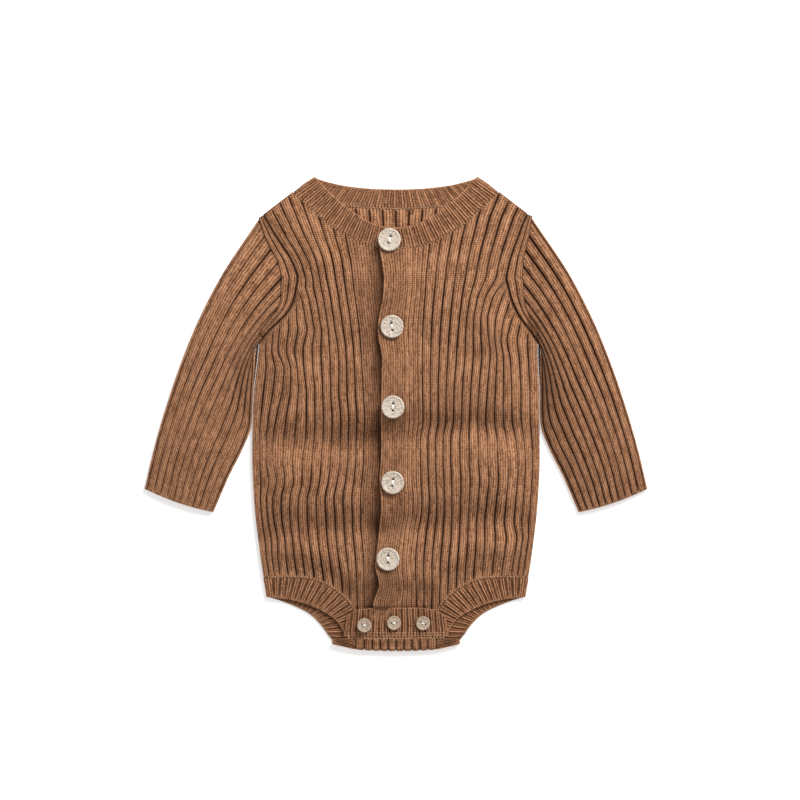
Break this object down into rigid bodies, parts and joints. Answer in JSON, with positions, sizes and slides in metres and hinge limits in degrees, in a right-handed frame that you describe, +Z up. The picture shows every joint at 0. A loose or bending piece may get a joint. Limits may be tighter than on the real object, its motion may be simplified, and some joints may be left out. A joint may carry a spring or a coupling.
{
  "type": "knitted baby bodysuit",
  "caption": "Long-sleeved rib-knit baby bodysuit laid flat, with a buttoned front placket, round neckband and a buttoned crotch band between ribbed leg bands.",
  "frame": {"origin": "middle of the garment's footprint, on the surface that it lies on", "axes": "+Z up from the surface, +Y from the crotch towards the neck, +X towards the wearer's left sleeve"},
  "size_m": [0.3918, 0.3694, 0.0129],
  "materials": {
    "rib_knit": "soft matt cotton knit in wide ribs, warm brown",
    "band_knit": "the same yarn in narrow ribs, linked on with a chain seam",
    "large_button": "speckled cream two-hole button with a rounded rim, sewn on with pale thread",
    "small_button": "smaller speckled cream two-hole button, sewn on with pale thread"
  },
  "bodies": {
    "root": {"back_panel": "rib_knit", "front_left": "rib_knit", "front_right": "rib_knit", "sleeve_left": "rib_knit", "sleeve_right": "rib_knit", "neckband": "band_knit", "leg_band_left": "band_knit", "leg_band_right": "band_knit", "crotch_band": "band_knit", "button_1_neck": "large_button", "button_2": "large_button", "button_3": "large_button", "button_4": "large_button", "button_5": "large_button", "crotch_button_1": "small_button", "crotch_button_2": "small_button", "crotch_button_3": "small_button"}
  },
  "joints": []
}
